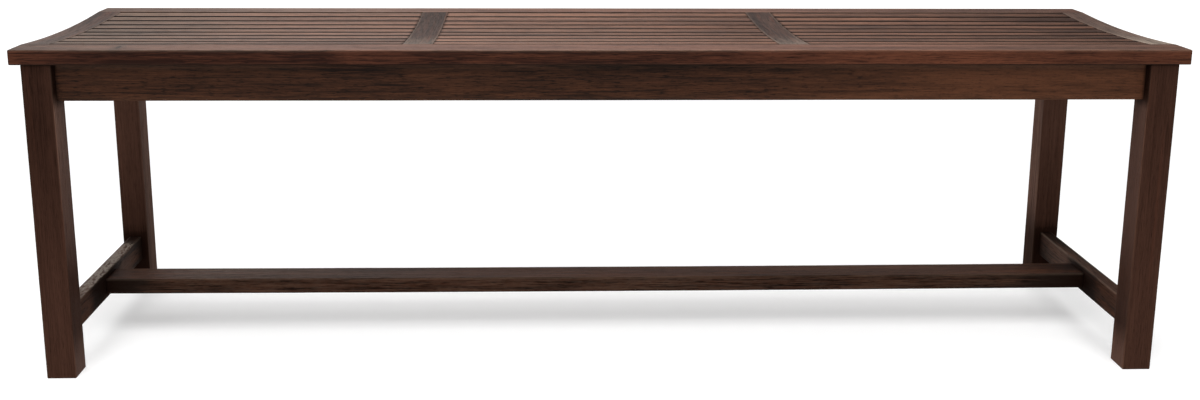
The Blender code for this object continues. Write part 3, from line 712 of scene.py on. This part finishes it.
def build_stretchers():
    """The end stretchers between the legs, and the long one between them, which sags a little."""
    finish = wood("stretcher_wood", **WOODS["stretcher"])
    # A faint painted sheen along the end stretchers' inner faces.
    inner_pale = ((0.0, 0.0), (0.06, 0.10), (0.12, 0.05), (0.176, 0.0))
    # From front to back along each: its inner face's tone, its top's tone, and how pale its top is. The dark tones
    # are painted shade on the inner face and at the top's ends, where the legs shade them; the paleness is a painted
    # sheen.
    ends = {
        "left": (
            ((-0.176, 0.0), (-0.11, 0.15), (-0.06, -1.1), (0.0, -1.6), (0.06, 0.15), (0.12, -0.1), (0.176, -1.0)),
            ((-0.176, -0.6), (-0.11, 0.0), (0.115, 0.0), (0.145, -1.3)),
            ((-0.176, 0.1), (-0.12, 0.35), (-0.07, 0.75), (0.115, 1.0), (0.14, 0.1), (0.15, 0.0))),
        "right": (
            ((-0.176, 0.0), (-0.09, -0.1), (-0.03, -1.3), (0.0, -1.6), (0.05, 0.0), (0.09, -0.1), (0.176, -0.8)),
            ((0.0, -0.1), (0.08, -0.4), (0.13, -0.8), (0.176, -1.6)),
            ((-0.17, 0.05), (0.0, 0.10), (0.13, 0.0))),
    }
    for where, (inner_tone, top_tone, top_pale) in ends.items():
        side = SIDES[where]
        low, high = both_signs(side, *END_STRETCHER_FACES)
        tongue = (low + END_STRETCHER_TONGUE_SHOULDER, high - END_STRETCHER_TONGUE_SHOULDER,
                  *END_STRETCHER_TONGUE_HEIGHTS)
        runs = (("tone", (-side, 0), inner_tone), ("pale", (-side, 0), inner_pale),
                ("tone", UP, top_tone), ("pale", UP, top_pale))
        stretcher = Board(f"stretcher_{where}", (Y, X, Z), fixed(low, high, *END_STRETCHER_HEIGHTS),
                          (FIT - LEG_REAR, LEG_REAR - FIT), [STRETCHER_ROUNDING] * 4,
                          tongues(END_STRETCHER_TONGUE_LENGTH, tongue), runs=runs, step=END_STRETCHER_STEP)
        stretcher.build(finish)
    # The long stretcher's ends are darkened on top and front: painted shadow from the end stretchers and legs. Its
    # paleness is a painted sheen.
    runs = (
        ("tone", UP, ((-0.709, -0.5), (-0.66, 0.0), (0.62, 0.0), (0.709, -0.7))),
        ("pale", UP, ((-0.66, 0.0), (-0.57, 0.16), (-0.44, 0.09), (-0.30, 0.05), (-0.18, 0.0), (0.2, 0.0),
                      (0.35, 0.05), (0.5, 0.05), (0.6, 0.0))),
        ("tone", AHEAD, ((-0.709, -1.5), (-0.63, -0.2), (-0.3, -0.1), (0.07, -0.3), (0.4, -0.1), (0.6, -0.35),
                         (0.709, -1.6))),
        ("pale", AHEAD, ((-0.709, 0.0), (-0.6, 0.08), (0.55, 0.08), (0.709, 0.0))),
    )
    reach = END_STRETCHER_FACES[0]
    stretcher = Board("stretcher_long", (X, Y, Z), fixed(*LONG_STRETCHER), (FIT - reach, reach - FIT),
                      [STRETCHER_ROUNDING] * 4, tongues(LONG_STRETCHER_TONGUE_LENGTH, LONG_STRETCHER_TONGUE),
                      runs=runs, sag=LONG_STRETCHER_SAG)
    stretcher.build(finish)


def dress_hidden_pieces():
    """Finish the bearers, corner blocks and screws, whose CAD solids stay."""
    finishes = {
        "bearer": wood("hidden_wood_bearer", cad_turn=(0.0, 0.0, QUARTER_TURN), **WOODS["hidden"]),
        "corner_block": wood("hidden_wood_block", cad_turn=(0.0, QUARTER_TURN, 0.0), **WOODS["hidden"]),
        "seat_screw": steel(),
    }
    for name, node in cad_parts.items():
        for kind, finish in finishes.items():
            if name.startswith(kind):
                node.data.materials.clear()
                node.data.materials.append(finish)


# Studio ------------------------------------------------------------------------------------------

def build_floor():
    """A pale floor, which throws less light back on the bench than the lens takes from it."""
    mesh = bpy.data.meshes.new("pale_floor")
    corners = [(-FLOOR_REACH, -FLOOR_REACH, 0), (FLOOR_REACH, -FLOOR_REACH, 0), (FLOOR_REACH, FLOOR_REACH, 0),
               (-FLOOR_REACH, FLOOR_REACH, 0)]
    mesh.from_pydata(corners, [], [(0, 1, 2, 3)])
    material = bpy.data.materials.new("pale_floor")
    f = Finish(material)
    place = f.place()
    speckle = f.clouds(place, (3.0, 3.0, 3.0), 2.0)
    seen = f.node("ShaderNodeBsdfDiffuse", {}, {"Color": f.mixed(speckle, (0.93,) * 3, (0.96,) * 3)})
    glow = FLOOR_LIFT + f.length(place).above(1.0, 3.5) * 0.5
    lift = f.node("ShaderNodeEmission", {}, {"Color": f.grey(glow), "Strength": 1.0})
    lifted = f.node("ShaderNodeAddShader", {}, {0: seen, 1: lift})
    thrown = f.node("ShaderNodeBsdfDiffuse", {}, {"Color": (FLOOR_THROWN,) * 3})
    to_camera = f.node("ShaderNodeLightPath", {}, {})
    surface = f.node("ShaderNodeMixShader", {}, {0: to_camera, 1: thrown, 2: lifted})
    f.node("ShaderNodeOutputMaterial", {}, {"Surface": surface})
    mesh.materials.append(material)
    floor = bpy.data.objects.new("pale_floor", mesh)
    bpy.context.collection.objects.link(floor)
    floor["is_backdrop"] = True
    return floor


def build_walls():
    """White walls, brighter to the left of the back, as the bench sees them, and plain white to the lens."""
    world = bpy.data.worlds.new("studio")
    bpy.context.scene.world = world
    f = Finish(world)
    to_right, to_back, _ = f.split(f.place(0))
    behind = to_back.math("MAXIMUM", to_back, 0.0)
    glow = 0.56 + to_back * 0.12 - to_right * behind * 1.3
    walls = f.node("ShaderNodeBackground", {}, {"Color": f.grey(glow), "Strength": 1.0})
    white = f.node("ShaderNodeBackground", {}, {"Color": (1.0, 1.0, 1.0), "Strength": 1.0})
    to_camera = f.node("ShaderNodeLightPath", {}, {})
    surroundings = f.node("ShaderNodeMixShader", {}, {0: to_camera, 1: walls, 2: white})
    f.node("ShaderNodeOutputWorld", {}, {"Surface": surroundings})


def group(name, members):
    """A collection of these objects, for a light to shine on or be shaded by."""
    collection = bpy.data.collections.new(name)
    for member in members:
        collection.objects.link(member)
    return collection


def softbox(name, place, aim, width, height, watts, lit, shading=None):
    """A soft rectangular light that shines on one group, and is shaded by one group or by everything."""
    light = bpy.data.lights.new(name, "AREA")
    light.shape, light.size, light.size_y, light.energy = "RECTANGLE", width, height, watts
    lamp = bpy.data.objects.new(name, light)
    lamp.location = place
    lamp.rotation_mode = "QUATERNION"
    lamp.rotation_quaternion = (Vector(aim) - Vector(place)).to_track_quat("-Z", "Y")
    lamp.light_linking.receiver_collection = lit
    if shading:
        lamp.light_linking.blocker_collection = shading
    bpy.context.collection.objects.link(lamp)


def build_softboxes(floor):
    """Three softboxes for the bench, and two that light the floor under it and before it."""
    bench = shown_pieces()
    whole = group("whole_bench", bench)
    low = group("stretchers", [piece for piece in bench if piece.name.startswith("stretcher")])
    standing = group("legs_and_stretchers", [piece for piece in bench if piece.name.startswith(("leg", "stretcher"))])
    ground = group("floor", [floor])
    # Each has its place, aim, width, height and watts, what it lights and what shades it.
    softbox("overhead_softbox", (-0.15, 0.0, 2.2), (0.0, 0.0, 0.4), 2.4, 0.9, 62.0, whole)
    softbox("front_softbox", (-0.2, -2.3, 2.0), (0.0, 0.0, 0.3), 3.2, 0.8, 18.0, whole)
    softbox("low_softbox", (-0.2, -2.8, 0.7), (0.0, 0.0, 0.2), 3.2, 1.0, 6.0, whole)
    softbox("floor_softbox", (-0.1, -0.75, 2.0), (0.0, 0.0, 0.0), 3.4, 2.2, 42.0, ground, low)
    softbox("floor_front_softbox", (-0.1, -2.6, 1.8), (0.0, 0.0, 0.0), 3.4, 1.4, 45.0, ground, standing)


def place_camera():
    """The photograph's viewing angle."""
    right = Vector((math.cos(CAMERA_YAW), math.sin(CAMERA_YAW), 0.0))
    ahead = Vector((-math.sin(CAMERA_YAW), math.cos(CAMERA_YAW), 0.0))
    upright = Vector(Z)
    forward = ahead * math.cos(CAMERA_PITCH) - upright * math.sin(CAMERA_PITCH)
    upward = ahead * math.sin(CAMERA_PITCH) + upright * math.cos(CAMERA_PITCH)
    side = right * math.cos(CAMERA_ROLL) + upward * math.sin(CAMERA_ROLL)
    top = upward * math.cos(CAMERA_ROLL) - right * math.sin(CAMERA_ROLL)
    lens = bpy.data.cameras.new("camera")
    lens.sensor_width = SENSOR_WIDTH
    lens.lens = FOCAL_PIXELS / PHOTO_WIDTH * SENSOR_WIDTH
    camera = bpy.data.objects.new("camera", lens)
    matrix = Matrix((side, top, -forward)).transposed().to_4x4()
    matrix.translation = Vector(CAMERA_PLACE)
    camera.matrix_world = matrix
    bpy.context.collection.objects.link(camera)
    bpy.context.scene.camera = camera


place_camera()
bpy.context.scene.view_settings.view_transform = "Standard"

build_long_rails()
build_short_rails()
build_slats()
build_legs()
build_aprons()
build_stretchers()
dress_hidden_pieces()

build_walls()
build_softboxes(build_floor())
